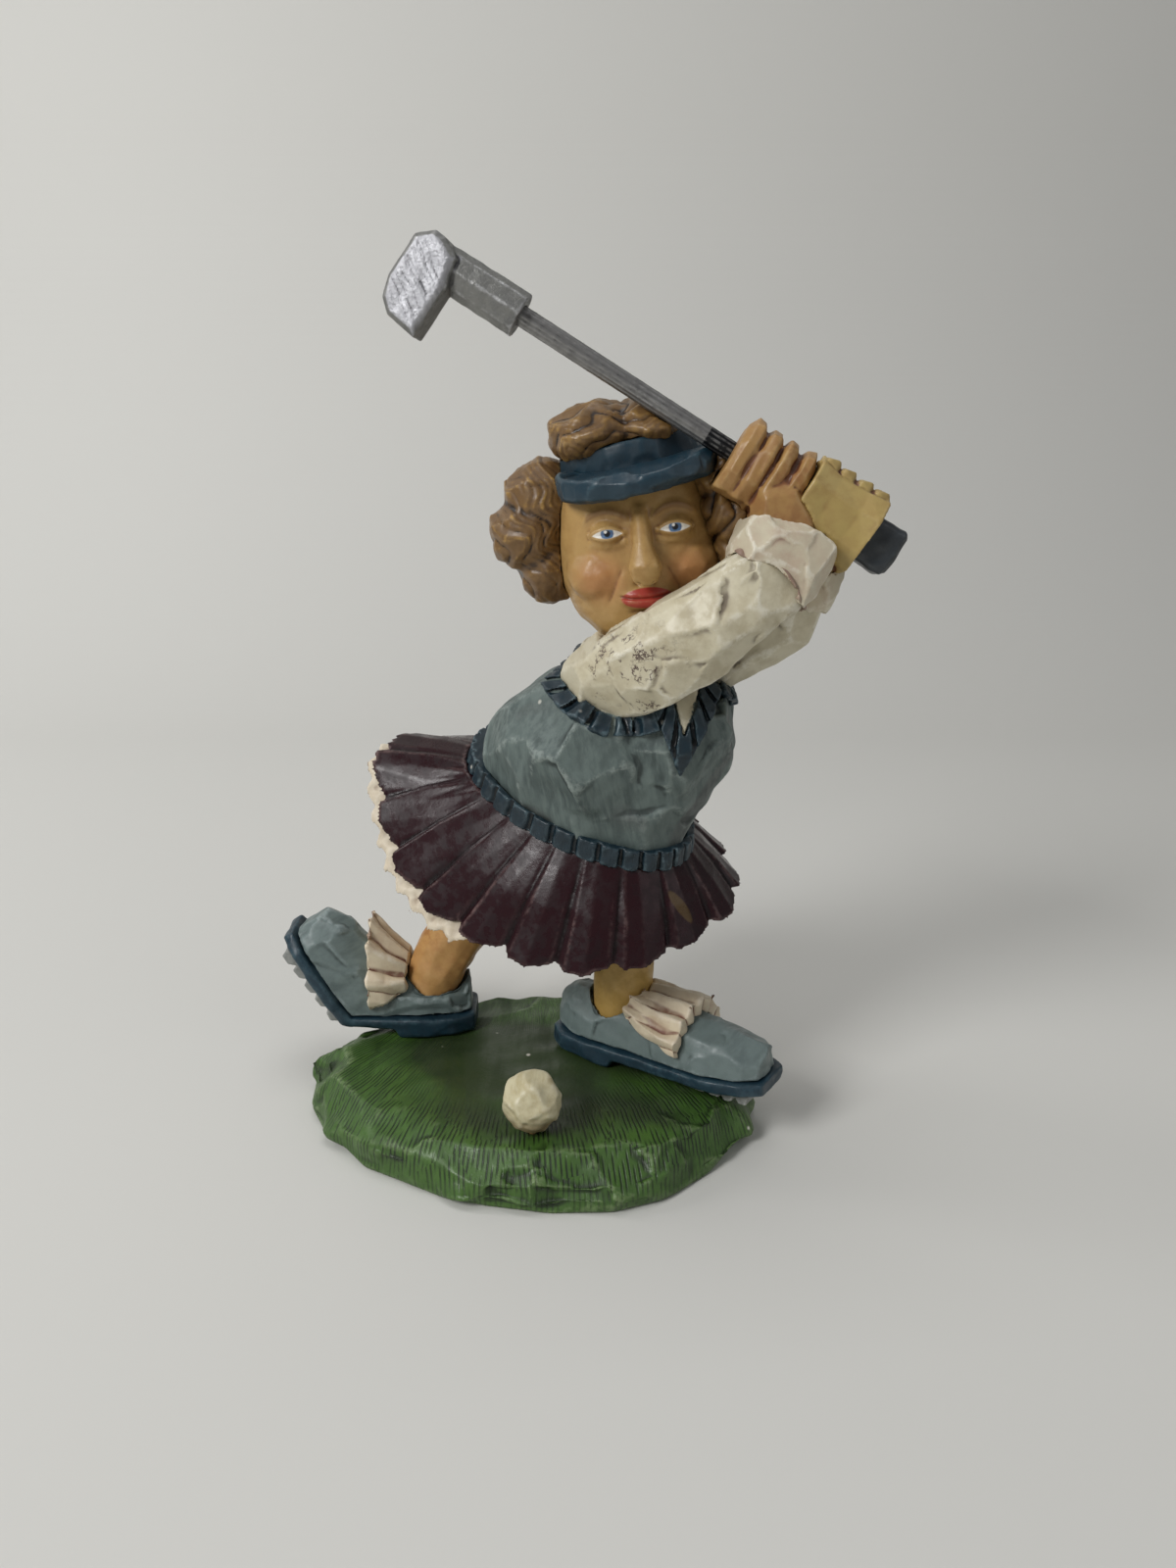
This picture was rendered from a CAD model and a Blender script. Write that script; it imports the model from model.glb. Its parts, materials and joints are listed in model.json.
# %% [markdown]
# A carved and painted golfer. The frame holds the figure as plain knife-cut blocks, one for each
# piece. This lesson dresses them: each block is copied, made fine enough to carve, cut with the
# marks of its own tool and painted in thin coats, with dark wash in the hollows and rubbed edges.

# %% Frame
import json
import math

import bpy
import numpy as np
from mathutils import Matrix, Vector

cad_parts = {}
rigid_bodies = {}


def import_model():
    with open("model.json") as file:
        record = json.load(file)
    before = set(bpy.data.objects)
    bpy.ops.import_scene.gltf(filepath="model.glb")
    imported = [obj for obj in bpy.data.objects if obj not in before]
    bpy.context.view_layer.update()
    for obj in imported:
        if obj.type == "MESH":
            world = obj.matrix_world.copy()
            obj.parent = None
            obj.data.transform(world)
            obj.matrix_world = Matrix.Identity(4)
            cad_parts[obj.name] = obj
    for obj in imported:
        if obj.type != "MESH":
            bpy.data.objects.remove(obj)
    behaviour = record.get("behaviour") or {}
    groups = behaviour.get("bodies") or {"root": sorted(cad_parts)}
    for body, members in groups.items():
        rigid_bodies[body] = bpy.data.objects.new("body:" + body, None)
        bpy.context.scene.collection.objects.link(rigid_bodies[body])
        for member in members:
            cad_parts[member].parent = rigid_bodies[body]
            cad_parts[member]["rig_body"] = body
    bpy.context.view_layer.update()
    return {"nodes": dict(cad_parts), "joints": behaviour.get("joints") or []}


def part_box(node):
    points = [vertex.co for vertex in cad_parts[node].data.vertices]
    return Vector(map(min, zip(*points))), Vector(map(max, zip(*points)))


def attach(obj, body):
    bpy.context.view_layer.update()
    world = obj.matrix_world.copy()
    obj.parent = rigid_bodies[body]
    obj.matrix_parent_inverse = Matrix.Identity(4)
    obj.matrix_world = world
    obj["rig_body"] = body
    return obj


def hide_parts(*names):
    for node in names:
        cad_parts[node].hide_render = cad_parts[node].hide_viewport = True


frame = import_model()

# %% [markdown]
# The camera stands where the photographer stood: a little above the figure's head and close, with
# a phone's wide lens, looking down. A camera could be aimed by a constraint, but plain numbers for
# its place and its tilt are easier to check against the photograph.

# %% Camera
CAMERA_AT = (0.0225, -0.388, 0.246)
CAMERA_TILT = math.radians(73)
CAMERA_LENS = 27
CAMERA_SENSOR = 36
CAMERA_NEAR = 0.01

bpy.ops.object.select_all(action="DESELECT")
bpy.ops.object.camera_add(location=CAMERA_AT, rotation=(CAMERA_TILT, 0, 0))
camera = bpy.context.active_object
camera.data.lens = CAMERA_LENS
camera.data.sensor_width = CAMERA_SENSOR
camera.data.clip_start = CAMERA_NEAR
bpy.context.scene.camera = camera
bpy.context.scene.view_settings.view_transform = "Standard"
print("camera", camera.name, "lens", camera.data.lens)

# %% [markdown]
# The floor is a pale sweep: a table top that curves up into a wall, so that no horizon shows. It
# could be two planes, but spinning the back edge gives the soft bend that hides the corner.

# %% Sweep
SWEEP_HALF = 2.2
SWEEP_BACK = 0.55
SWEEP_BEND = 0.6
SWEEP_WALL = 2.0
SWEEP_STEPS = 72


def mode(kind):
    """Goes into edit mode, or back to object mode."""
    bpy.ops.object.mode_set(mode=kind)


bpy.ops.object.select_all(action="DESELECT")
bpy.ops.mesh.primitive_plane_add(size=2)
sweep = bpy.context.active_object
sweep.name = "sweep"
sweep.scale = (SWEEP_HALF, (SWEEP_HALF + SWEEP_BACK) / 2, 1)
sweep.location = (0, (SWEEP_BACK - SWEEP_HALF) / 2, 0)
bpy.ops.object.transform_apply(location=True, rotation=True, scale=True)
mode("EDIT")
bpy.ops.mesh.select_all(action="DESELECT")
mode("OBJECT")
for edge in sweep.data.edges:
    edge.select = all(sweep.data.vertices[i].co.y > SWEEP_BACK - 0.01 for i in edge.vertices)
mode("EDIT")
bpy.ops.mesh.select_mode(type="EDGE")
bend_middle = (0, SWEEP_BACK, SWEEP_BEND)
bpy.ops.mesh.spin(steps=SWEEP_STEPS, angle=-math.pi / 2, center=bend_middle, axis=(1, 0, 0))
bpy.ops.mesh.extrude_region_move(TRANSFORM_OT_translate={"value": (0, 0, SWEEP_WALL)})
mode("OBJECT")
print("sweep", len(sweep.data.polygons), "faces, to height", max(v.co.z for v in sweep.data.vertices))

# %% [markdown]
# The light is soft, as in a room with one large window on the left and pale walls all round. A
# lamp stands for the window and gives the sheen on the skirt, weak ones fill from the right and from
# above, and one that shines away from the figure lightens the wall on the left. A picture of a room
# could light it all at once, but lamps can be moved one by one.

# %% Lamps
def lamp(name, at, aim, size, power):
    """A square area lamp that looks at a point."""
    bpy.ops.object.select_all(action="DESELECT")
    bpy.ops.object.light_add(type="AREA", location=at)
    made = bpy.context.active_object
    made.name = name
    made.data.size = size
    made.data.energy = power
    made.rotation_euler = (Vector(aim) - Vector(at)).to_track_quat("-Z", "Y").to_euler()


AIM = (0.02, 0, 0.13)
WALL = (-0.4, 1.1, 0.35)
ROOM_TONE = (0.86, 0.87, 0.9, 1)
ROOM_STRENGTH = 0.21

lamp("window", at=(-0.85, -0.8, 0.95), aim=AIM, size=0.5, power=12.5)
lamp("fill", at=(0.9, -0.6, 0.7), aim=AIM, size=0.9, power=1.5)
lamp("ceiling", at=(0.0, 0.1, 1.5), aim=AIM, size=0.8, power=4.5)
lamp("backdrop", at=(-0.9, 0.3, 0.8), aim=WALL, size=0.5, power=3.6)

world = bpy.data.worlds.new("room")
bpy.context.scene.world = world
world.use_nodes = True
room = world.node_tree.nodes["Background"]
room.inputs["Color"].default_value = ROOM_TONE
room.inputs["Strength"].default_value = ROOM_STRENGTH

# %% [markdown]
# A carver starts from a sawn blank. Here the blank is a copy of the frame's block: its loose
# triangles are joined, its skin is swollen a hair to close the glue line, and a voxel remesh gives
# it an even grain of small faces. A little smoothing takes the saw's edge off the facets. Sculpting
# by hand would do too, but the remesh keeps each block where the frame has it.

# %% Blanks
MM = 0.001
GLUE_LINE = 0.15
MERGE = 0.02


def only(piece):
    """Selects one object and nothing else, so that an operator acts on it alone."""
    bpy.ops.object.select_all(action="DESELECT")
    piece.select_set(True)
    bpy.context.view_layer.objects.active = piece


def finished(piece, kind, **settings):
    """Adds a modifier with its settings and applies it."""
    modifier = piece.modifiers.new(kind.title(), kind)
    for name, value in settings.items():
        setattr(modifier, name, value)
    only(piece)
    bpy.ops.object.modifier_apply(modifier=modifier.name)


def eased(piece, passes):
    """Smooths a piece a number of times."""
    finished(piece, "SMOOTH", factor=0.5, iterations=passes)


def blank(node, grain, soften=4, swell=GLUE_LINE):
    """A block in the shape of a CAD node, fine enough to carve. Sizes are in millimetres."""
    piece = bpy.data.objects.new(node + "_carved", frame["nodes"][node].data.copy())
    bpy.context.scene.collection.objects.link(piece)
    piece.data.materials.clear()
    only(piece)
    mode("EDIT")
    bpy.ops.mesh.select_all(action="SELECT")
    bpy.ops.mesh.remove_doubles(threshold=MERGE * MM)
    mode("OBJECT")
    if swell:
        finished(piece, "DISPLACE", strength=swell * MM, mid_level=0)
    finished(piece, "REMESH", mode="VOXEL", voxel_size=grain * MM)
    eased(piece, soften)
    bpy.ops.object.shade_smooth()
    return piece


# %% [markdown]
# Carving moves points along their normals. One helper does the moving, and each tool is a function
# that says how deep it cuts where. Sculpt brushes need a hand and a window, while functions give the
# same cut on every run. First come the helper and the measures that the tools share.

# %% Carving
RIPPLE_WAVES = 7
RIPPLE_CALM = 3


def read(mesh, layer, field, width):
    """One field of a mesh's points or edges as rows of numbers."""
    items = getattr(mesh, layer)
    values = np.empty(len(items) * width, np.int32 if layer == "edges" else np.float32)
    items.foreach_get(field, values)
    return values.reshape(-1, width)


def places(piece):
    """Where the points of a piece are, in millimetres."""
    return read(piece.data, "vertices", "co", 3) / MM


def carve(piece, *cuts):
    """Moves each point along its normal by the cuts' heights, all in millimetres."""
    for cut in cuts:
        points = places(piece)
        normals = read(piece.data, "vertices", "normal", 3)
        points = points + normals * cut(points, normals)[:, None]
        piece.data.vertices.foreach_set("co", (points * MM).astype(np.float32).ravel())
        piece.data.update()


def stain(piece, name, values):
    """Keeps a mask on the piece's points, for its paint to read."""
    layer = piece.data.attributes.new(name, "FLOAT", "POINT")
    layer.data.foreach_set("value", np.clip(values, -1, 1).astype(np.float32))


def step(values, low, high):
    """Runs smoothly from 0 at low to 1 at high."""
    share = np.clip((values - low) / (high - low), 0, 1)
    return share * share * (3 - 2 * share)


def ripple(points, size, seed):
    """A soft random wave from about -1 to 1, with humps of about a size in millimetres."""
    draw = np.random.default_rng(seed)
    total = np.zeros(len(points))
    for _ in range(RIPPLE_WAVES):
        way = draw.normal(size=3)
        way *= draw.uniform(0.6, 1.4) / (size * np.linalg.norm(way))
        total += np.sin(2 * math.pi * points @ way + draw.uniform(0, 2 * math.pi))
    return total / RIPPLE_CALM


def bump_on(values, width):
    """A rounded ridge where values are zero."""
    return np.exp(-((values / width) ** 2))


# %% [markdown]
# The tools. A gouge leaves scoops that meet in ridges, a knife leaves flats, and a V tool leaves
# grooves, while no hand is quite steady. Scoops and flats are shared out round points that are
# picked at random on the piece. The seed of each pick is given, so every run picks the same ones.

# %% Tools
HANDFUL = 4096
FEWEST_CUTS = 4
SCOOP_LEVEL = 0.35
FLAT_STEEP = 0.4
FLAT_FILL = 3
RIDGE_LEVEL = 0.6
RIDGE_SCATTER = 12.9898


def nearest(points, seeds):
    """For each point, which seed is nearest and how far off it is."""
    which, away = [], []
    for some in np.array_split(points, len(points) // HANDFUL + 1):
        gaps = np.linalg.norm(some[:, None] - seeds, axis=2)
        which.append(gaps.argmin(1))
        away.append(gaps.min(1))
    return np.concatenate(which), np.concatenate(away)


def picked(points, spacing, grain, seed):
    """Numbers of points picked at random on a surface of some grain, about a spacing apart."""
    count = max(FEWEST_CUTS, int(len(points) * (grain / spacing) ** 2))
    return np.random.default_rng(seed).choice(len(points), count, replace=False)


def scoops(spacing, depth, seed, grain=0.6):
    """Shallow gouge cuts that meet in ridges."""
    def cut(points, normals):
        _, away = nearest(points, points[picked(points, spacing, grain, seed)])
        return depth * (np.minimum(away / spacing, 1) ** 2 - SCOOP_LEVEL)
    return cut


def flats(spacing, depth, seed, grain=0.6):
    """Knife flats: each patch is pressed to one plane. A patch keeps to one side of an edge."""
    def cut(points, normals):
        marks = np.hstack([points, spacing * normals])
        seeds = marks[picked(points, spacing, grain, seed)]
        which, _ = nearest(marks, seeds)

        def mean(values):
            sums = [np.bincount(which, values[:, axis], len(seeds)) for axis in range(3)]
            return np.stack(sums, 1) / np.maximum(np.bincount(which, minlength=len(seeds)), 1)[:, None]

        facing = mean(normals)
        facing /= np.maximum(np.linalg.norm(facing, axis=1), 1e-6)[:, None]
        level = ((mean(points)[which] - points) * facing[which]).sum(1)
        steep = np.maximum((normals * facing[which]).sum(1), FLAT_STEEP)
        return np.clip(level / steep, -depth, depth / FLAT_FILL)
    return cut


def whittle(piece, spacing, depth, seed, grain=0.6, ease=7):
    """Cuts knife flats all over a piece and eases the steps between them."""
    carve(piece, flats(spacing, depth, seed, grain))
    eased(piece, ease)


def dents(size, depth, seed):
    """Soft unevenness, as a hand leaves it."""
    return lambda points, normals: depth * ripple(points, size, seed)


def grooves(place, pitch, depth):
    """V grooves at a pitch along a measure in millimetres, each ridge of its own height."""
    turn = place / pitch
    ridge = 1 - np.abs(2 * (turn - np.floor(turn)) - 1)
    height = RIDGE_LEVEL + (1 - RIDGE_LEVEL) * np.sin(np.floor(turn) * RIDGE_SCATTER)
    return depth * (np.sqrt(ridge) * height - RIDGE_LEVEL)


# %% [markdown]
# The paint needs to know where the carving is hollow and where it stands proud. Blender has a
# pointiness output, but it sees only the very next faces. Here the mesh is smoothed in numbers
# instead, and what the smoothing moved is kept as a mask: above zero in hollows, below on ridges.
# The same measure lets a tool go over its cuts again, where the remesh has made them shallow.

# %% Hollows
SMOOTH_KEEP = 0.3
RIDGE_CUT = 3


def sunk(piece, passes):
    """How deep each point lies under its smoothed surroundings, in millimetres."""
    mesh = piece.data
    points = read(mesh, "vertices", "co", 3).astype(np.float64) / MM
    normals = read(mesh, "vertices", "normal", 3)
    ends = read(mesh, "edges", "vertices", 2)
    tails = np.concatenate([ends[:, 0], ends[:, 1]])
    heads = np.concatenate([ends[:, 1], ends[:, 0]])
    count = np.maximum(np.bincount(tails, minlength=len(points)), 1)
    smooth = points.copy()
    for _ in range(passes):
        sums = [np.bincount(tails, smooth[heads, axis], len(points)) for axis in range(3)]
        smooth = SMOOTH_KEEP * smooth + (1 - SMOOTH_KEEP) * np.stack(sums, 1) / count[:, None]
    return ((smooth - points) * normals).sum(1)


def hollows(piece, passes, depth, name="hollow"):
    """Keeps a mask: 1 in a cut this deep in millimetres, -1 on a ridge as high."""
    stain(piece, name, sunk(piece, passes) / depth)


def deepened(piece, passes, gain):
    """Goes over a piece's cuts again: hollows get deeper, and ridges a little sharper."""
    under = sunk(piece, passes)
    carve(piece, lambda points, normals: -gain * np.where(under > 0, under, under / RIDGE_CUT))


def mounted(piece, node, material, passes, depth):
    """Gives a carved piece its mask of hollows, its paint and its place on the frame."""
    hollows(piece, passes, depth)
    piece.data.materials.append(material)
    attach(piece, frame["nodes"][node]["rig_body"])
    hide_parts(node)
    print(node, len(piece.data.polygons), "faces")


# %% [markdown]
# Materials are wired from nodes. Small helpers put a node down, set its inputs by name and return
# it, so that the wiring reads like a recipe. The editor's canvas would do the same by hand.

# %% Wiring
def put(tree, kind, options=None, **inputs):
    """Adds a shader node, sets its options, and sets or links its inputs by name or number."""
    node = tree.nodes.new("ShaderNode" + kind)
    for name, value in (options or {}).items():
        setattr(node, name, value)
    for name, value in inputs.items():
        numbered = name.startswith("in")
        socket = node.inputs[int(name[2:]) if numbered else name.replace("_", " ")]
        if isinstance(value, bpy.types.NodeSocket):
            tree.links.new(value, socket)
        else:
            socket.default_value = value
    return node


def reckon(tree, operation, first, second=0.0):
    """A sum, a difference or another reckoning of two values."""
    return put(tree, "Math", {"operation": operation}, in0=first, in1=second).outputs[0]


def times(tree, first, *others):
    """The product of some values."""
    for other in others:
        first = reckon(tree, "MULTIPLY", first, other)
    return first


def reckon_ways(tree, operation, first, second):
    """The same for two vectors."""
    return put(tree, "VectorMath", {"operation": operation}, in0=first, in1=second).outputs[0]


def spread(tree, value, low, high, to_low=0.0, to_high=1.0):
    """Maps a value from one range to another and holds it there."""
    ends = {"From_Min": low, "From_Max": high, "To_Min": to_low, "To_Max": to_high}
    return put(tree, "MapRange", {"interpolation_type": "SMOOTHSTEP"}, Value=value, **ends).outputs[0]


def blend(tree, share, first, second):
    """One colour over another."""
    node = put(tree, "Mix", {"data_type": "RGBA"}, in0=share, in6=first, in7=second)
    return node.outputs[2]


def noise(tree, place, scale, detail=4.0, roughness=0.6):
    """Cloudy noise from about 0 to 1, with a scale that counts humps in a metre."""
    return put(tree, "TexNoise", Vector=place, Scale=scale, Detail=detail, Roughness=roughness).outputs[0]


def tone(code):
    """A colour written as on a paint card, in the renderer's linear light."""
    parts = [int(code[i : i + 2], 16) / 255 for i in (0, 2, 4)]
    return (*[c / 12.92 if c <= 0.04045 else ((c + 0.055) / 1.055) ** 2.4 for c in parts], 1)


def group(name, inputs, outputs):
    """An empty node group, its sockets inside, and the place of a point on its piece."""
    tree = bpy.data.node_groups.new(name, "ShaderNodeTree")
    for label, kind, value in inputs:
        socket = tree.interface.new_socket(label, in_out="INPUT", socket_type="NodeSocket" + kind)
        socket.default_value = value
    for label, kind in outputs:
        tree.interface.new_socket(label, in_out="OUTPUT", socket_type="NodeSocket" + kind)
    entries = tree.nodes.new("NodeGroupInput").outputs
    exits = tree.nodes.new("NodeGroupOutput").inputs
    print("group", name)
    return tree, entries, exits, put(tree, "TexCoord").outputs["Object"]


# %% [markdown]
# Brush strokes. A coat of paint put on by hand is never even: it thins in long streaks that follow
# the brush. A noise drawn out along one direction gives them, and a turn lets each piece have its
# own direction. A painted texture would show them too, but it would need a map for every piece.

# %% Group of brush strokes
WHITE = (1, 1, 1, 1)
BLACK = (0, 0, 0, 1)
DRAWN_OUT = (1, 0.14, 1)
THIN_PATCHES = 45
THIN_LEAST = 0.25

brush, brush_in, brush_out, place = group(
    "brush strokes",
    [
        ("Coat", "Color", WHITE),
        ("Thin", "Color", BLACK),
        ("Size", "Float", 300),
        ("Turn", "Vector", (0, 0, 0)),
    ],
    [("Colour", "Color"), ("Streak", "Float")],
)
by_angles = {"rotation_type": "EULER_XYZ"}
turned = put(brush, "VectorRotate", by_angles, Vector=place, Rotation=brush_in["Turn"]).outputs[0]
drawn = reckon_ways(brush, "MULTIPLY", turned, DRAWN_OUT)
streak = spread(brush, noise(brush, drawn, brush_in["Size"], 6), 0.36, 0.66)
patch = spread(brush, noise(brush, place, THIN_PATCHES, 3), 0.3, 0.75, THIN_LEAST, 1)
thin = times(brush, streak, patch)
brush.links.new(blend(brush, thin, brush_in["Coat"], brush_in["Thin"]), brush_out["Colour"])
brush.links.new(streak, brush_out["Streak"])

# %% [markdown]
# Wash and rub. The painter floods the carving with a thin dark wash, wipes it off the high places,
# and years of handling rub the ridges pale. Both read the mask of hollows, broken up by a noise so
# that neither runs in an even line.

# %% Group of wash and rubbed edges
WASH_PATCHES = 160
RUB_GRAIN = 420
RUB_PATCHES = 38

wear, wear_in, wear_out, place = group(
    "wash and rub",
    [
        ("Colour", "Color", WHITE),
        ("Wash colour", "Color", BLACK),
        ("Wash", "Float", 0.8),
        ("Rub colour", "Color", WHITE),
        ("Rub", "Float", 0.5),
    ],
    [("Colour", "Color")],
)
hollow = put(wear, "Attribute", {"attribute_name": "hollow"}).outputs["Fac"]
patch = spread(wear, noise(wear, place, WASH_PATCHES, 5), 0.25, 0.6, 0.35, 1)
washed = times(wear, spread(wear, hollow, 0.04, 0.75), patch, wear_in["Wash"])
grain = spread(wear, noise(wear, place, RUB_GRAIN, 5, 0.7), 0.38, 0.6)
worn_patch = spread(wear, noise(wear, place, RUB_PATCHES, 3), 0.4, 0.62, 0.25, 1)
proud = spread(wear, times(wear, hollow, -1.0), 0.12, 0.75)
rubbed = times(wear, proud, grain, worn_patch, wear_in["Rub"])
dirty = blend(wear, washed, wear_in["Colour"], wear_in["Wash colour"])
wear.links.new(blend(wear, rubbed, dirty, wear_in["Rub colour"]), wear_out["Colour"])

# %% [markdown]
# Fine relief. Under the paint the wood keeps a fine tooth from the file and the brush. It is too
# small to carve, so it goes into a bump, from two sizes of noise.

# %% Group of fine relief
COARSE_SIZE = 0.3
FINE_SHARE = 0.45

tooth, tooth_in, tooth_out, place = group("fine relief", [("Size", "Float", 900)], [("Height", "Float")])
coarse = noise(tooth, place, times(tooth, tooth_in["Size"], COARSE_SIZE), 3)
fine = times(tooth, noise(tooth, place, tooth_in["Size"], 4, 0.7), FINE_SHARE)
tooth.links.new(reckon(tooth, "ADD", fine, coarse), tooth_out["Height"])

# %% [markdown]
# Chips and knocks. Here and there a fleck of paint has gone and the pale ground shows, and on the
# sleeve dark lines branch where it has been knocked. Flecks are the middles of a few Voronoi cells,
# and knocks are the thin places where a noise crosses its mean, inside the piece's own mask.

# %% Group of chips and knocks
FLECK = "dcd8cc"
FLECK_CELLS = 150.0
KNOCK_BRANCHES = 130.0
KNOCK_BREAKS = 230.0

chips, chips_in, chips_out, place = group(
    "chips and knocks", [("Flecks", "Float", 0.5)], [("Flecks", "Float"), ("Knocks", "Float")]
)
cells = put(chips, "TexVoronoi", Vector=place, Scale=FLECK_CELLS)
lucky = spread(chips, put(chips, "SeparateColor", Color=cells.outputs["Color"]).outputs[0], 0.93, 0.96)
dot = spread(chips, cells.outputs["Distance"], 0.06, 0.16, 1.0, 0.0)
fleck = times(chips, dot, lucky, chips_in["Flecks"])
chips.links.new(fleck, chips_out["Flecks"])
from_mean = reckon(chips, "SUBTRACT", noise(chips, place, KNOCK_BRANCHES, 8, 0.65), 0.5)
branch = spread(chips, reckon(chips, "ABSOLUTE", from_mean), 0.006, 0.026, 1.0, 0.0)
broken = spread(chips, noise(chips, place, KNOCK_BREAKS, 4), 0.44, 0.58)
region = put(chips, "Attribute", {"attribute_name": "scuff"}).outputs["Fac"]
knock = times(chips, branch, broken, region)
chips.links.new(knock, chips_out["Knocks"])

# %% [markdown]
# Every painted finish is then one recipe: a coat with brush strokes, stains where a piece has
# them, wash and rub over all, and a bump of fine relief. What is the same all over a surface, such
# as its coat of varnish, is set on the shader itself.

# %% Recipe of a painted finish
STAIN_GRAIN = 500.0
STAIN_RAGGED = 0.3
BUMP_DEPTH = 0.4
STROKE_DEPTH = 2.0


def stained(tree, colour, mask, shade, share):
    """A stain from a piece's own mask, broken up a little at its edge."""
    place = put(tree, "TexCoord").outputs["Object"]
    found = put(tree, "Attribute", {"attribute_name": mask}).outputs["Fac"]
    ragged = times(tree, noise(tree, place, STAIN_GRAIN, 5), STAIN_RAGGED)
    edge = spread(tree, reckon(tree, "ADD", found, ragged), 0.3, 1.05)
    return blend(tree, times(tree, edge, share), colour, tone(shade))


def finish_of(
    name, coat, thin, wash, rub,
    washing=0.8, rubbing=0.5, rough=(0.5, 0.65), size=300.0, turn=(0, 0, 0), bump=0.25, tooth_size=900.0,
    stains=(), knocks=None, flecked=0.0, carved_strokes=0.0, **shader,
):
    """A painted finish from its colours and how it is washed, rubbed and varnished."""
    material = bpy.data.materials.new(name)
    material.use_nodes = True
    tree = material.node_tree
    skin = tree.nodes["Principled BSDF"]
    paint = {"Coat": tone(coat), "Thin": tone(thin), "Size": size, "Turn": turn}
    brushed = put(tree, "Group", {"node_tree": brush}, **paint)
    colour = brushed.outputs["Colour"]
    height = put(tree, "Group", {"node_tree": tooth}, Size=tooth_size).outputs["Height"]
    for mask, shade, share in stains:
        colour = stained(tree, colour, mask, shade, share)
    if carved_strokes:
        cut = put(tree, "Group", {"node_tree": strokes}, Amount=carved_strokes).outputs["Mask"]
        colour = blend(tree, cut, colour, tone(wash))
        height = reckon(tree, "SUBTRACT", height, times(tree, cut, STROKE_DEPTH))
    worn = put(
        tree, "Group", {"node_tree": wear}, Colour=colour,
        Wash_colour=tone(wash), Wash=washing, Rub_colour=tone(rub), Rub=rubbing,
    )
    colour = worn.outputs["Colour"]
    if knocks or flecked:
        damage = put(tree, "Group", {"node_tree": chips}, Flecks=flecked).outputs
        colour = blend(tree, damage["Flecks"], colour, tone(FLECK))
        colour = blend(tree, damage["Knocks"], colour, tone(knocks or wash))
    tree.links.new(colour, skin.inputs["Base Color"])
    tree.links.new(spread(tree, brushed.outputs["Streak"], 0.0, 1.0, *rough), skin.inputs["Roughness"])
    raised = put(tree, "Bump", Strength=bump, Distance=BUMP_DEPTH * MM, Height=height)
    tree.links.new(raised.outputs["Normal"], skin.inputs["Normal"])
    for socket, value in shader.items():
        skin.inputs[socket.replace("_", " ")].default_value = value
    return material


# %% [markdown]
# Knife strokes. The turf's rim is covered with short dark strokes, like tufts of grass, that fan out
# from a point behind the base and lean a little this way or that from patch to patch. They are too
# fine for the mesh, so they are drawn by a wave round that point, with a lean that each cell of a
# Voronoi pattern picks. Each stroke has its own number, and the number picks where it starts.

# %% Group of knife strokes
TURF_HALF = (0.086, 0.067)
STROKES_ROUND = 580.0
STROKES_FROM = (0, 0.1, 0)
STROKE_CELLS = 38.0
STROKE_LEAN = 800.0
STROKE_WOBBLE = 300.0
STROKE_RUNS = 48.0
STROKE_STARTS = 5.0
STROKE_PATCHES = 55.0

strokes, strokes_in, strokes_out, place = group(
    "knife strokes", [("Amount", "Float", 1.0)], [("Mask", "Float")]
)
oval = (1 / TURF_HALF[0], 1 / TURF_HALF[1], 0)
spoke = reckon_ways(strokes, "MULTIPLY", place, oval)
reach = put(strokes, "VectorMath", {"operation": "LENGTH"}, in0=spoke).outputs["Value"]
fan = reckon_ways(strokes, "SUBTRACT", place, STROKES_FROM)
east, north, height = put(strokes, "SeparateXYZ", Vector=fan).outputs
fall = reckon(strokes, "SUBTRACT", times(strokes, reach, sum(TURF_HALF) / 2), height)
cells = put(strokes, "TexVoronoi", Vector=place, Scale=STROKE_CELLS).outputs["Color"]
lean = reckon(strokes, "SUBTRACT", put(strokes, "SeparateColor", Color=cells).outputs[0], 0.5)
slant = times(strokes, lean, fall, STROKE_LEAN)
turn = times(strokes, reckon(strokes, "ARCTAN2", north, east), STROKES_ROUND)
wobble = noise(strokes, place, STROKE_WOBBLE, 2)
wave = reckon(strokes, "ADD", reckon(strokes, "ADD", turn, slant), wobble)
stroke = spread(strokes, reckon(strokes, "SINE", wave), 0.0, 0.75)
number = reckon(strokes, "FLOOR", reckon(strokes, "DIVIDE", wave, 2 * math.pi))
chance = put(strokes, "TexWhiteNoise", {"noise_dimensions": "1D"}, W=number).outputs["Value"]
start = times(strokes, chance, STROKE_STARTS)
run = reckon(strokes, "ADD", times(strokes, fall, STROKE_RUNS), start)
run = reckon(strokes, "ABSOLUTE", reckon(strokes, "SUBTRACT", reckon(strokes, "FRACT", run), 0.5))
stroke = times(strokes, stroke, spread(strokes, run, 0.22, 0.48, 1.0, 0.0))
patch = spread(strokes, noise(strokes, place, STROKE_PATCHES, 3), 0.22, 0.42)
upper = spread(strokes, height, 0.004, 0.011, 0.5, 1.0)
outer = spread(strokes, reach, 0.36, 0.62)
mask = times(strokes, stroke, outer, patch, upper, strokes_in["Amount"])
strokes.links.new(mask, strokes_out["Mask"])

# %% [markdown]
# The turf. The side of the real base is cut away in broad upright gouges and in knife flats, which
# leave a wavy rim. The flats are eased afterwards, since paint has rounded their edges. The paint is
# a dark brownish green in the middle, where dirt stays, and brighter at the rim.

# %% Turf cuts
GOUGE_SCATTER, GOUGE_LEAST, GOUGE_SWAY = 0.3, 0.4, 0.02


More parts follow.
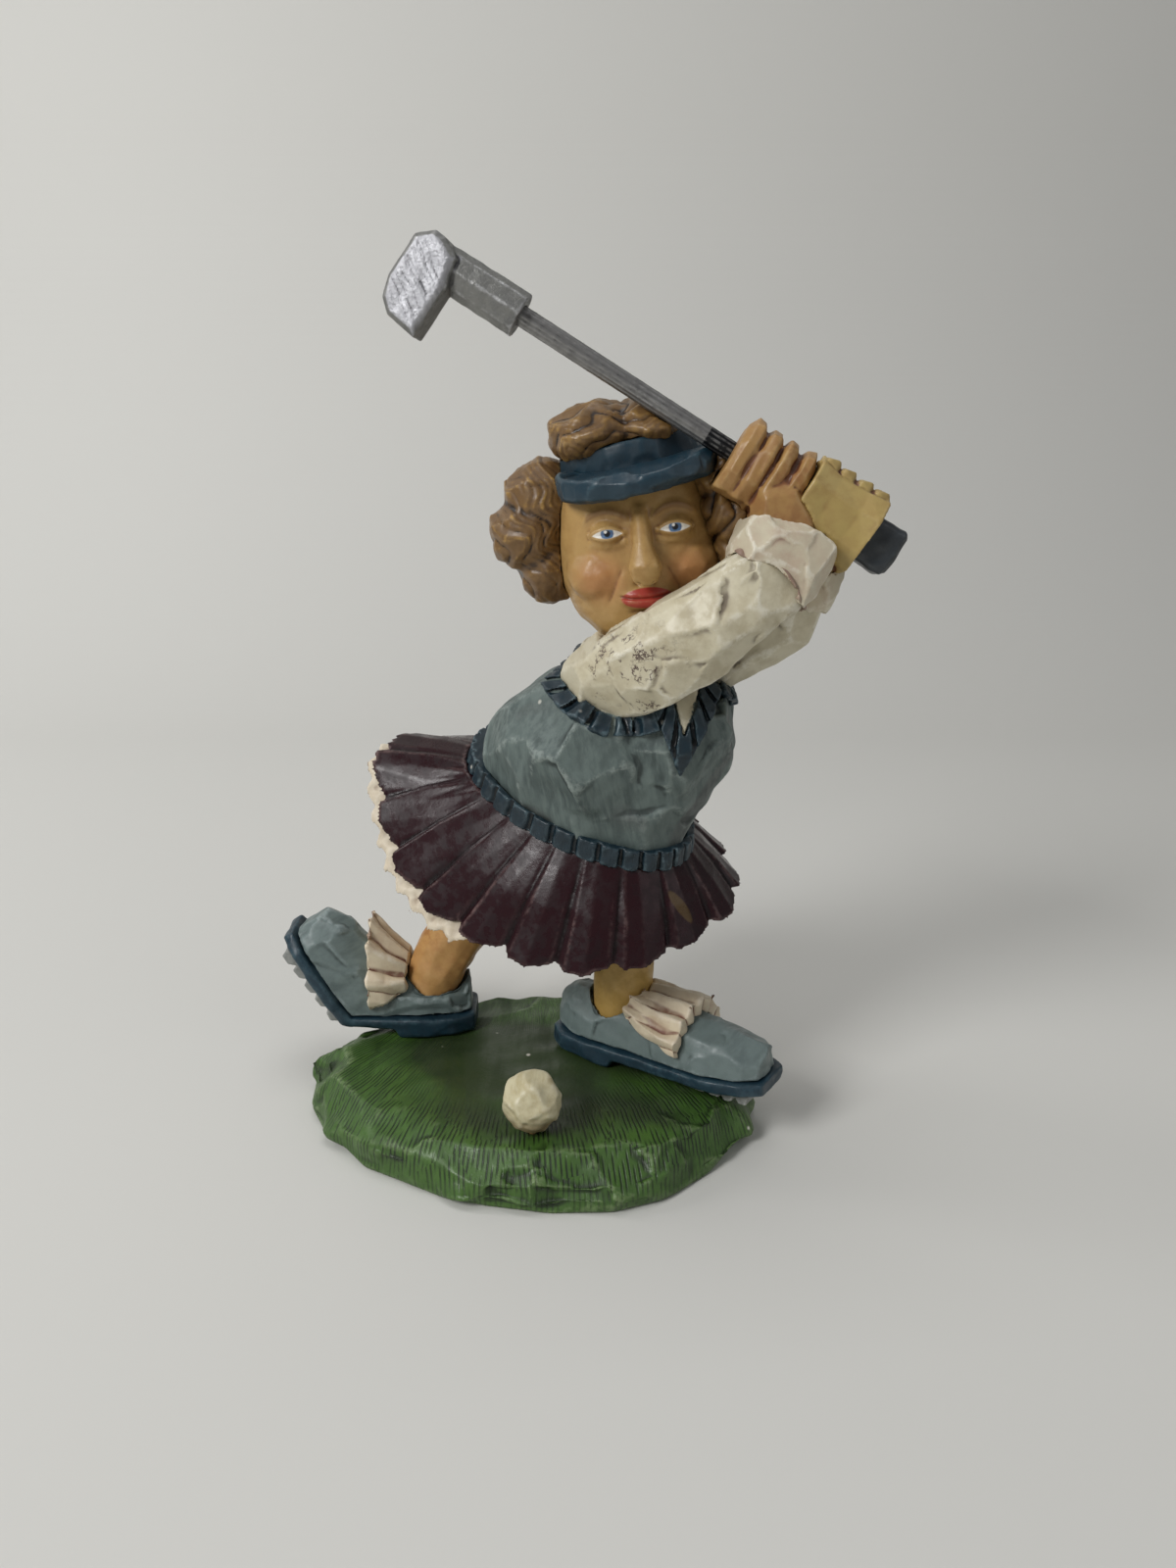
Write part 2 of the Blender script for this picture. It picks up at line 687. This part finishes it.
def from_middle(points):
    """How far out on the base a point is: 0 in the middle, about 1 at the rim."""
    return np.hypot(points[:, 0] * MM / TURF_HALF[0], points[:, 1] * MM / TURF_HALF[1])


def above_foot(points, full):
    """0 on the underside of the base, 1 from a height in millimetres upwards."""
    return step(points[:, 2], 0.5, full)


def on_top(cut):
    """A cut that keeps off the underside of the base."""
    return lambda points, normals: above_foot(points, 4) * cut(points, normals)


def on_rim(cut):
    """A cut that keeps off the underside and fades out towards the middle of the base."""
    def masked(points, normals):
        rim = step(from_middle(points), 0.55, 0.8) * above_foot(points, 4)
        return rim * cut(points, normals)
    return masked


def gouges(count, depth, seed):
    """Upright gouge cuts round the side of the base, each with its own place and depth."""
    draw = np.random.default_rng(seed)
    spots = np.arange(count) + draw.uniform(-GOUGE_SCATTER, GOUGE_SCATTER, count)
    middles = spots * 2 * math.pi / count - math.pi
    depths = draw.uniform(GOUGE_LEAST, 1, count) * depth

    def cut(points, normals):
        angle = np.arctan2(points[:, 1] / TURF_HALF[1], points[:, 0] / TURF_HALF[0])
        angle += GOUGE_SWAY * ripple(points, 30, seed)
        away = np.abs((angle[:, None] - middles + math.pi) % (2 * math.pi) - math.pi)
        which = away.argmin(1)
        share = away[np.arange(len(points)), which] * count / math.pi
        side = step(from_middle(points), 0.8, 0.93) * above_foot(points, 3)
        return -side * depths[which] * np.clip(1 - share**2, 0, 1)
    return cut


# %% Turf
TURF_GRAIN = 0.8
DIRT_SWAY = 0.12

turf_green = finish_of(
    "turf green", "446528", "33501d", "111b0c", "84976a", washing=0.75,
    rough=(0.38, 0.54), size=170, bump=0.5, tooth_size=700, flecked=0.8,
    stains=[("middle", "262e1b", 0.8)], carved_strokes=0.85,
)
turf = blank("turf_base", TURF_GRAIN, soften=2, swell=0)
carve(
    turf,
    gouges(count=21, depth=4, seed=3),
    on_rim(flats(spacing=26, depth=1.4, seed=6, grain=TURF_GRAIN)),
)
eased(turf, passes=7)
carve(turf, on_top(dents(size=16, depth=0.4, seed=5)))
points = places(turf)
dirt_edge = from_middle(points) + DIRT_SWAY * ripple(points, 40, 6)
stain(turf, "middle", 1 - step(dirt_edge, 0.3, 0.85))
mounted(turf, "turf_base", turf_green, passes=8, depth=0.3)

# %% [markdown]
# The ball is cut in flats with a knife and stands on the turf, with a brown stain that grows towards
# its foot. The frame's facets are softened first and cut anew, larger and less even, as by hand. The
# stain is a mask by height.

# %% Ball
BALL_GRAIN = 0.4
FOOT_STAIN = 16

ball_cream = finish_of(
    "ball cream", "c9c1a0", "b3a781", "6b5638", "e6e1cd", washing=0.6, rubbing=0.4,
    rough=(0.42, 0.58), size=420, bump=0.4, stains=[("foot", "7a6242", 0.85)],
)
ball = blank("golf_ball", BALL_GRAIN, soften=40)
whittle(ball, spacing=9.5, depth=0.9, seed=7, grain=BALL_GRAIN, ease=22)
carve(ball, dents(size=9, depth=0.35, seed=8), dents(size=4, depth=0.1, seed=9))
ball_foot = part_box("golf_ball")[0][2] / MM
ball_height = places(ball)[:, 2]
stain(ball, "foot", 0.9 - step(ball_height, ball_foot, ball_foot + FOOT_STAIN))
mounted(ball, "golf_ball", ball_cream, passes=10, depth=0.2)

# %% [markdown]
# The shoes. The uppers are grey-blue and cut in large flats, the soles a dark teal, the cleats a
# plain grey, and the fringed flaps cream, with a pink-brown wash deep in their folds. A loop makes
# both shoes alike, since the frame gives each its own shape. The folds of a flap could be modelled
# one by one, but grooves that run round the arch of the shoe follow it by themselves.

# %% Shoes
shoe_grey = finish_of(
    "shoe grey", "6c7a78", "586564", "29322f", "9fabab", washing=0.7,
    rough=(0.4, 0.55), turn=(0, 0, 0.6),
)
teal = finish_of(
    "dark teal", "193340", "132833", "081116", "4a6872", washing=0.7, rubbing=0.4,
    rough=(0.38, 0.55), size=240, flecked=0.6,
)
cleat_grey = finish_of("cleat grey", "8d8f8b", "7a7c79", "33352f", "b9bbb6", washing=0.9, rubbing=0.6)
flap_cream = finish_of(
    "flap cream", "ded0b4", "ccb89d", "7d5646", "ece3d4", washing=1.0, rough=(0.4, 0.55)
)

UPPER_RADIUS = 17
FLUTE_SWAY = 0.5
SHOE_AT = {"right": ((-22, 36, 25), 180), "left": ((14, 27, 25), -34)}


def fluted(side, pitch, depth):
    """Flutes round the arch of a shoe, which run from its ankle to the edge of its flap."""
    heel, heading = SHOE_AT[side]
    across = np.array((-math.sin(math.radians(heading)), math.cos(math.radians(heading)), 0))

    def cut(points, normals):
        local = points - np.array(heel)
        arc = np.arctan2(local[:, 2], local @ across) * UPPER_RADIUS
        return grooves(arc + FLUTE_SWAY * ripple(points, 14, 16), pitch, depth)
    return cut


for side in ("right", "left"):
    for part, paint, grain, spacing, depth in (
        ("sole", teal, 0.62, 12, 0.3),
        ("upper", shoe_grey, 0.55, 17, 0.9),
        ("cleats", cleat_grey, 0.4, 6, 0.2),
    ):
        node = f"{side}_shoe_{part}"
        piece = blank(node, grain)
        whittle(piece, spacing, depth, 12, grain)
        carve(piece, dents(size=8, depth=0.15, seed=13))
        mounted(piece, node, paint, passes=10, depth=0.25)
    flap = blank(f"{side}_shoe_flap", grain=0.4, soften=11)
    carve(flap, dents(size=9, depth=0.35, seed=13), fluted(side, pitch=5.6, depth=1.9))
    mounted(flap, f"{side}_shoe_flap", flap_cream, passes=14, depth=0.32)

# %% [markdown]
# Legs and hands. Each has a tan of its own, warmer on the figure's right and yellower on its left.
# The legs have soft dents. The hands have their finger grooves cut again so that they stay crisp, a
# red flush in the wide hollows and a dark wash at the bottom of each groove. The flush is a second
# mask of hollows, smoothed over a wider ring.

# %% Legs and hands
for node, coat, thin, seed in (
    ("right_leg", "be925a", "a36f3d", 21),
    ("left_leg", "c09c56", "a3823f", 23),
):
    paint = finish_of(
        node.replace("_", " "), coat, thin, "6b371d", "d6b680", washing=0.85, rubbing=0.4,
        rough=(0.36, 0.5), turn=(0.4, 0, 0.3),
    )
    piece = blank(node, grain=0.7)
    carve(piece, dents(size=9, depth=0.25, seed=seed), dents(size=4, depth=0.05, seed=seed + 1))
    mounted(piece, node, paint, passes=8, depth=0.32)

for node, coat, thin, seed in (
    ("right_hand", "a47f4d", "916539", 25),
    ("left_hand", "ae975c", "9b7e49", 27),
):
    paint = finish_of(
        node.replace("_", " "), coat, thin, "532d19", "cdb47c", washing=0.95, rubbing=0.4,
        rough=(0.38, 0.52), size=240, turn=(0.4, 0, 0.3), stains=[("flush", "7e492a", 0.75)],
    )
    piece = blank(node, grain=0.45, soften=6)
    deepened(piece, passes=24, gain=0.8)
    carve(piece, dents(size=14, depth=0.25, seed=seed))
    hollows(piece, passes=60, depth=0.5, name="flush")
    mounted(piece, node, paint, passes=12, depth=0.35)

# %% [markdown]
# The skirt's knife pleats come from the frame. The carver's panels are not quite flat, so shallow
# dents catch the light, and the maroon gloss is rubbed pale along each fold. A chip on one pleat
# shows the brown ground. It could be cut, but the wall is thin, so it is a stain along a short line.

# %% Skirt
CHIP_AT = np.array((54.2, -16.9, 88.9))
CHIP_ALONG = np.array((0.58, 0, -0.81))
CHIP_HALF = (8, 2.2)

maroon = finish_of(
    "maroon gloss", "280f14", "1b090d", "0a0303", "7c6461", washing=0.85, rubbing=0.55,
    rough=(0.23, 0.36), size=260, bump=0.2, tooth_size=620, flecked=0.8,
    stains=[("chip", "4f3d24", 1.0)], Specular_IOR_Level=0.32,
)
skirt = blank("skirt", grain=0.65, soften=2)
carve(skirt, dents(size=26, depth=0.22, seed=31))
from_chip = places(skirt) - CHIP_AT
along = from_chip @ CHIP_ALONG
across = np.linalg.norm(from_chip - along[:, None] * CHIP_ALONG, axis=1)
stain(skirt, "chip", 1 - step(np.hypot(along / CHIP_HALF[0], across / CHIP_HALF[1]), 0.7, 1.1))
mounted(skirt, "skirt", maroon, passes=6, depth=0.16)

# %% [markdown]
# The petticoat shows below the skirt as a frilled edge, with a brown wash in its dimples. The frill is
# the frame's, and small scoops make its dimples, since an even frill would look as if made on a lathe.

# %% Petticoat
petticoat_cream = finish_of(
    "petticoat cream", "d4c8b2", "c2b39b", "7d6047", "efe8d9", washing=1.0
)
petticoat = blank("petticoat", grain=0.6)
carve(petticoat, scoops(spacing=5.5, depth=0.9, seed=33), dents(size=5, depth=0.2, seed=34))
mounted(petticoat, "petticoat", petticoat_cream, passes=8, depth=0.3)

# %% [markdown]
# The vest is a matt grey-blue over large knife flats whose edges have rubbed pale, with brown grime
# in places. The flats could come from the frame's own facets, but larger and less even ones look more
# like the knife's, so the block is softened first and cut anew.

# %% Vest
VEST_GRAIN = 0.7

vest_blue = finish_of(
    "vest blue", "616e6a", "3d4847", "202827", "a3aca6", washing=0.75, rubbing=0.55,
    rough=(0.5, 0.68), size=360, turn=(1.3, 0.5, 0.2), bump=0.4, flecked=0.6,
    stains=[("grime", "474544", 0.5)],
)
vest = blank("vest", VEST_GRAIN, soften=16)
whittle(vest, spacing=26, depth=2.2, seed=41, grain=VEST_GRAIN)
carve(vest, dents(size=22, depth=0.5, seed=42), dents(size=8, depth=0.12, seed=44))
stain(vest, "grime", step(ripple(places(vest), 30, 45), 0.1, 1.0))
mounted(vest, "vest", vest_blue, passes=8, depth=0.2)

# %% [markdown]
# The vest's trims are ribbed: dark teal, with black in the grooves and a pale line on the edges. At
# the neck and the armholes the frame's own grooves are cut again, so that each rib stands by itself.
# At the waist the frame has a zigzag, which is filled here to upright blocks with slots between them.

# %% Trims
WAIST_AT = np.array((19, 18, 118))
WAIST_AXES = np.array(((37.5, -12, -10), (-2.5, 31, 9.5)))
WAIST_RIBS, WAIST_RIB_WIDE = 32, 7.2
RIB_ZIGZAG, RIB_BLOCK, RIB_SLOT = 1.7, 1.2, 0.9
SLOT_DEPTH = 1.6


def blocks(points, normals):
    """Fills the zigzag of the waist's trim to upright blocks, with a narrow slot between them."""
    from_waist = points - WAIST_AT
    spokes = from_waist @ np.linalg.pinv(WAIST_AXES)
    turn = np.arctan2(spokes[:, 1], spokes[:, 0]) * WAIST_RIBS / (2 * math.pi)
    from_slot = np.abs(turn - np.floor(turn) - 0.5)
    level = spokes @ WAIST_AXES
    outer = (normals * level).sum(1) / np.linalg.norm(level, axis=1)
    slot = bump_on(from_slot * WAIST_RIB_WIDE, RIB_SLOT)
    height = RIB_BLOCK * (1 - SLOT_DEPTH * slot) - 2 * RIB_ZIGZAG * from_slot
    return step(outer, 0.3, 0.7) * height


rib_teal = finish_of(
    "rib teal", "132832", "0c1b22", "04080a", "62787f", washing=0.95, rubbing=0.6,
    rough=(0.36, 0.52), size=240, flecked=0.6,
)
for node in ("waist_rib", "neck_rib", "right_armhole_rib", "left_armhole_rib"):
    piece = blank(node, grain=0.45, soften=2)
    if node == "waist_rib":
        carve(piece, blocks)
    else:
        deepened(piece, passes=12, gain=0.8)
    carve(piece, dents(size=5, depth=0.15, seed=43))
    mounted(piece, node, rib_teal, passes=8, depth=0.25)

# %% [markdown]
# The shirt is an old ivory, cut in knife flats, with dark scuffs in one place where the paint has
# been knocked. The cuffs are a little browner. The scuffs could be painted by hand on a map, but a
# mask round that place lets the group of knocks draw them there and nowhere else.

# %% Shirt
SCUFF_AT = (34, -36, 171)
SCUFF_REACH = (11, 25)
ivory = finish_of(
    "ivory", "cbc3a9", "b4a98c", "5f5145", "e9e5d6", rubbing=0.6,
    rough=(0.4, 0.55), size=240, turn=(0, 0.6, 0), knocks="46302e",
)
cuff_ivory = finish_of(
    "cuff ivory", "c7bda4", "bba791", "7c5a50", "e9e5d6",
    rough=(0.4, 0.55), size=200, knocks="46302e",
)

for node, paint, grain, spacing, seed in (
    ("right_sleeve", ivory, 0.6, 18, 51),
    ("left_sleeve", ivory, 0.6, 18, 53),
    ("right_cuff", cuff_ivory, 0.5, 12, 55),
    ("left_cuff", cuff_ivory, 0.5, 12, 57),
    ("shirt_front", ivory, 0.5, 9, 59),
    ("shirt_collar", ivory, 0.5, 7, 61),
):
    piece = blank(node, grain, soften=10)
    whittle(piece, spacing, depth=1.6, seed=seed, grain=grain, ease=4)
    carve(piece, dents(size=10, depth=0.2, seed=seed + 1))
    points = places(piece)
    near = 1 - step(np.linalg.norm(points - np.array(SCUFF_AT), axis=1), *SCUFF_REACH)
    stain(piece, "scuff", near * step(ripple(points, 22, 61), -0.8, 0.2))
    mounted(piece, node, paint, passes=10, depth=0.18)

# %% [markdown]
# The head. Its egg, nose, cheeks and lips are the frame's, on the even places of a drawing manual.
# The finer cuts are made in the head's own measure, level and facing the front: lids round the
# eyes, a brow, nostrils and the line of the lips. The same curves then mask the paint. Only the front
# gets a finer mesh for these cuts, because the whole head would be too heavy.

# %% Measures of the head
HEAD_MIDDLE = np.array((39, 7, 213))
HEAD_ROLL = math.radians(-6)
EYE_SPREAD, EYE_HEIGHT, EYE_HALF = 10.5, 1.5, 5.2
LID_RISE, LID_DROP = 1.9, 1.2
IRIS, PUPIL, GLINT = 2.0, 1.0, 0.5
EYE_BLUR, GLINT_BLUR = 0.3, 0.2
GAZE_RISE, GLINT_RISE, GLINT_ASIDE = 0.5, 1.1, 0.5
LIPS_HEIGHT, LIPS_HALF, LIPS_TALL = -19, 8.2, 3.3
NOSE_BASE = -13
CHEEK_SPREAD, CHEEK_RISE, CHEEK_WIDE = 14, 1, 15
BROW_RISE, BROW_BOW = 7, 1.6
FACE_FOOT, FACE_TOP, FACE_PLANE = -26, 14, -12

upright = np.array(Matrix.Rotation(HEAD_ROLL, 3, "Y"))


def in_head(points):
    """Points in the head's own measure, with the chin below and the face to -y."""
    return (points - HEAD_MIDDLE) @ upright


def lids(local):
    """For the nearer eye: the place along it from -1 to 1, and the heights over its two lids."""
    x, z = np.abs(local[:, 0]) - EYE_SPREAD, local[:, 2] - EYE_HEIGHT
    along = x / EYE_HALF
    bow = np.clip(1 - along**2, 0, 1)
    return along, z - LID_RISE * bow, z + LID_DROP * bow


def over_brow(along, z):
    """How high a point is over the line of the brow."""
    return z - (EYE_HEIGHT + BROW_RISE - BROW_BOW * along**2)


# %% Cuts and masks of the face
UPPER_LID, LOWER_LID, LID_WIDE = 0.75, 0.55, 0.8
BAG, BAG_DROP, BAG_WIDE = 0.5, 2.6, 1.2
BROW, BROW_WIDE = 0.8, 1.5
LIPS_CUT, LIPS_CUT_WIDE, LIPS_BOW = 1.0, 0.6, 0.012
CHIN_CUT, CHIN_DROP, CHIN_WIDE = 0.6, 4.6, 1.0
NOSTRIL, NOSTRIL_SPREAD, NOSTRIL_DROP, NOSTRIL_WIDE = 0.9, 2.6, 1.2, 1.0
FOLD, FOLD_SPREAD, FOLD_SLANT, FOLD_WIDE = 0.45, 7.5, 0.45, 1.0


def face_cut(points, normals):
    """Lids, brows, lips, nostrils and the folds beside the mouth."""
    local = in_head(points)
    x, z = local[:, 0], local[:, 2]
    front = step(-normals[:, 1], 0.15, 0.5) * (local[:, 1] < FACE_PLANE)
    along, over, under = lids(local)
    inside_eye = 1 - step(np.abs(along), 0.95, 1.3)
    height = inside_eye * (UPPER_LID * bump_on(over, LID_WIDE) + LOWER_LID * bump_on(under, LID_WIDE))
    height += inside_eye * BAG * bump_on(under + BAG_DROP, BAG_WIDE)
    height += BROW * bump_on(over_brow(along, z), BROW_WIDE) * (1 - step(np.abs(along), 1.1, 1.6))
    lips_line = z - (LIPS_HEIGHT + LIPS_BOW * x**2)
    between_corners = 1 - step(np.abs(x), LIPS_HALF - 1, LIPS_HALF + 1)
    height -= LIPS_CUT * bump_on(lips_line, LIPS_CUT_WIDE) * between_corners
    over_chin = 1 - step(np.abs(x), 4, 7)
    height -= CHIN_CUT * bump_on(z - LIPS_HEIGHT + CHIN_DROP, CHIN_WIDE) * over_chin
    nostril = np.hypot(np.abs(x) - NOSTRIL_SPREAD, z - NOSE_BASE + NOSTRIL_DROP)
    height -= NOSTRIL * bump_on(nostril, NOSTRIL_WIDE)
    fold = np.abs(x) - (FOLD_SPREAD + (NOSE_BASE + 3 - z) * FOLD_SLANT)
    height -= FOLD * bump_on(fold, FOLD_WIDE) * step(z, -22, -18) * (1 - step(z, -11, -8))
    return front * height


def disc(away, radius, blur):
    """1 inside a circle, with a soft edge."""
    return 1 - step(away, radius - blur, radius + blur)


def finer(piece, chosen):
    """Divides the chosen faces in four, so that they take finer cuts."""
    only(piece)
    mode("EDIT")
    bpy.ops.mesh.select_mode(type="FACE")
    bpy.ops.mesh.select_all(action="DESELECT")
    mode("OBJECT")
    piece.data.polygons.foreach_set("select", chosen)
    mode("EDIT")
    bpy.ops.mesh.subdivide(number_cuts=1)
    mode("OBJECT")


# %% Head
head = blank("head", grain=0.6, soften=15)
middles = in_head(read(head.data, "polygons", "center", 3) / MM)
on_face_height = (middles[:, 2] > FACE_FOOT) & (middles[:, 2] < FACE_TOP)
finer(head, on_face_height & (middles[:, 1] < FACE_PLANE))
eased(head, passes=6)
carve(head, dents(size=12, depth=0.25, seed=71), face_cut)

local = in_head(places(head))
front = (local[:, 1] < FACE_PLANE).astype(float)
along, over, under = lids(local)
opening = (1 - step(over, -0.5, 0.1)) * step(under, -0.1, 0.5) * (np.abs(along) < 1)
x, z = local[:, 0], local[:, 2]
from_gaze = np.hypot(np.abs(x) - EYE_SPREAD, z - EYE_HEIGHT - GAZE_RISE)
from_glint = np.hypot(x - np.sign(x) * EYE_SPREAD + GLINT_ASIDE, z - EYE_HEIGHT - GLINT_RISE)
lips_place = np.hypot(x / LIPS_HALF, (z - LIPS_HEIGHT) / LIPS_TALL)
cheek = np.hypot(np.abs(x) - CHEEK_SPREAD, z - NOSE_BASE - CHEEK_RISE)
stain(head, "eye", front * opening)
stain(head, "iris", front * opening * disc(from_gaze, IRIS, EYE_BLUR))
stain(head, "pupil", front * opening * disc(from_gaze, PUPIL, EYE_BLUR))
stain(head, "glint", front * opening * disc(from_glint, GLINT, GLINT_BLUR))
stain(head, "lips", front * (1 - step(lips_place, 0.85, 1.1)))
stain(head, "blush", 0.9 * front * (1 - step(cheek, 0, CHEEK_WIDE)))
stain(head, "brow", front * bump_on(over_brow(along, z), 1.3) * (1 - step(np.abs(along), 1.0, 1.5)))

# %% Face paint
face_paint = finish_of(
    "face", "b28f58", "9d7843", "653519", "d6ba89", washing=0.7, rubbing=0.4, rough=(0.36, 0.5), bump=0.35,
    stains=[
        ("blush", "b4663f", 0.4),
        ("brow", "7a5632", 0.7),
        ("lips", "a8322c", 0.95),
        ("eye", "e6e2d8", 1.0),
        ("iris", "4f7096", 1.0),
        ("pupil", "14161c", 1.0),
        ("glint", "f2f0ea", 1.0),
    ],
)
mounted(head, "head", face_paint, passes=14, depth=0.25)

# %% [markdown]
# The hair is cut in wavy strands with a V tool: deep brown in the cuts and rubbed gold on the
# ridges. Each mass has its own lie, given as a direction across the strands and one along them. It
# is swollen a little more than other pieces, which closes the gaps beside the head and the visor.

# %% Hair
HAIR_GRAIN = 0.55
STRAND_TURN, STRAND_SWAY = 1.5, 1.2


def strands(across, along, pitch, depth, wave, length, seed):
    """Wavy grooves that run along one direction and repeat across another."""
    across, along = (np.array(way) / np.linalg.norm(way) for way in (across, along))

    def cut(points, normals):
        local = in_head(points)
        turn = 2 * math.pi * (local @ along) / length + STRAND_TURN * ripple(points, 25, seed)
        place = local @ across + wave * np.sin(turn) + STRAND_SWAY * ripple(points, 14, seed + 1)
        return grooves(place, pitch, depth)
    return cut


hair_brown = finish_of(
    "hair brown", "755833", "5a3f22", "1c1008", "b8924e", washing=1.0, rubbing=0.85,
    rough=(0.35, 0.5), size=220, stains=[("deep", "3a230f", 0.7)],
)
for node, across, along, depth, swell, seed in (
    ("hair_crown", (0, 0.55, 1), (1, 0, 0), 1.5, 0.35, 81),
    ("hair_right", (1, 0.2, 0.45), (-0.4, 0, 1), 1.9, 0.9, 83),
    ("hair_left", (1, 0.2, -0.3), (0.3, 0, 1), 1.9, 0.6, 85),
    ("hair_back", (1, 0, 0.2), (0, 0.2, 1), 1.9, 0.35, 87),
):
    piece = blank(node, HAIR_GRAIN, soften=11, swell=swell)
    carve(
        piece,
        scoops(spacing=12, depth=0.7, seed=seed + 1, grain=HAIR_GRAIN),
        strands(across, along, pitch=7.1, depth=depth, wave=2.6, length=24, seed=seed),
        strands(across, along, pitch=2.4, depth=0.35, wave=2.0, length=19, seed=seed + 40),
    )
    hollows(piece, passes=50, depth=1.0, name="deep")
    mounted(piece, node, hair_brown, passes=10, depth=0.3)

# %% [markdown]
# The visor is thick and simple: a band and a brim in the dark teal of the soles, cut in small flats
# with soft dents. Both are swollen a little, so that no gap shows between them or beside the hair.

# %% Visor
VISOR_GRAIN = 0.5
VISOR_SWELL = 0.35

for node in ("visor_band", "visor_brim"):
    piece = blank(node, VISOR_GRAIN, soften=5, swell=VISOR_SWELL)
    whittle(piece, spacing=11, depth=0.7, seed=91, grain=VISOR_GRAIN)
    carve(piece, dents(size=10, depth=0.2, seed=92))
    mounted(piece, node, teal, passes=10, depth=0.3)

# %% [markdown]
# The club. The shaft is a fluted dowel in silver with black left in its flutes, and a black end
# where it enters the fists. The head is brighter, scored across its face with a knife point. Its
# lines could be a bump, but cut into the mesh they also hold the dark wash.

# %% Club cuts
CLUB_UP = np.array(frame["joints"][0]["axis"])
CLUB_MOUTH = np.array((2.6, -12, 277))
BLADE_FROM = (21, 23)
BLADE_FACING = (0.75, 0.9)
SCORED_ACROSS, ACROSS_SWAY = (0.94, 0, 0.34), 0.6
SCORED_SLANT, SLANT_SWAY = (0.87, 0, 0.5), 0.8
SHAFT_FREE = 75
BLACK_END, BLACK_EDGE = 9, 0.6


def up_club(points):
    """How far up the club each point is from the mouth of its head."""
    return (points - CLUB_MOUTH) @ CLUB_UP


def on_face(points, normals):
    """1 on the face of the club's head, 0 on its edges and its hosel."""
    return step(-normals[:, 1], *BLADE_FACING) * step(up_club(points), *BLADE_FROM)


def scored(points, normals):
    """Crossed knife lines on the face of the club's head."""
    across = points @ np.array(SCORED_ACROSS) + ACROSS_SWAY * ripple(points, 12, 95)
    slanted = points @ np.array(SCORED_SLANT) + SLANT_SWAY * ripple(points, 14, 96)
    lines = grooves(across, pitch=2.1, depth=0.22) + grooves(slanted, pitch=6.3, depth=0.3)
    return on_face(points, normals) * lines


# %% Club
silver = finish_of(
    "silver", "83837f", "6c6c6b", "2c2b2e", "d2d2d4", washing=0.85, rubbing=0.7,
    rough=(0.36, 0.52), size=260, bump=0.9, tooth_size=1500, flecked=0.6,
    stains=[("face", "a8a8ac", 0.9)], Metallic=0.6,
)
shaft_silver = finish_of(
    "shaft silver", "82817f", "646362", "121213", "b4b3b1", washing=1.0,
    rough=(0.32, 0.48), stains=[("black", "16171a", 1.0)], Metallic=0.6,
)
butt_black = finish_of(
    "butt black", "31363a", "25292c", "0d0f11", "6b7278", washing=0.5, rubbing=0.45, rough=(0.32, 0.5)
)

club_head = blank("club_head", grain=0.42)
carve(club_head, dents(size=7, depth=0.1, seed=97))
facings = read(club_head.data, "vertices", "normal", 3)
stain(club_head, "face", on_face(places(club_head), facings))
carve(club_head, scored)
mounted(club_head, "club_head", silver, passes=6, depth=0.13)

shaft = blank("club_shaft", grain=0.33, soften=1, swell=0)
black_top = BLACK_END - SHAFT_FREE
stain(shaft, "black", 1 - step(up_club(places(shaft)), black_top, black_top + BLACK_EDGE))
mounted(shaft, "club_shaft", shaft_silver, passes=12, depth=0.12)

butt = blank("grip_butt", grain=0.4)
carve(butt, dents(size=6, depth=0.2, seed=98))
mounted(butt, "grip_butt", butt_black, passes=10, depth=0.3)

# %% [markdown]
# The pegs inside the legs and under the ball keep the frame's own shape and get bare wood. They are
# never seen while the figure is whole, so carving would only add faces.

# %% Pegs
bare_wood = finish_of("bare wood", "b08a56", "97713f", "5d4426", "c9a878", size=500)
for node in ("ball_peg", "right_leg_dowel", "left_leg_dowel"):
    frame["nodes"][node].data.materials.clear()
    frame["nodes"][node].data.materials.append(bare_wood)
    print(node, bare_wood.name)

# %% [markdown]
# The sweep takes a pale, even paint of its own. The table in the photograph isn't part of the figure,
# so a plain tone without marks is enough.

# %% Floor paint
FLOOR_TONE = "d3d2cd"
FLOOR_ROUGH = 0.8

floor_paint = bpy.data.materials.new("pale sweep")
floor_paint.use_nodes = True
floor_skin = floor_paint.node_tree.nodes["Principled BSDF"]
floor_skin.inputs["Base Color"].default_value = tone(FLOOR_TONE)
floor_skin.inputs["Roughness"].default_value = FLOOR_ROUGH
sweep.data.materials.append(floor_paint)
print("floor", floor_paint.name)
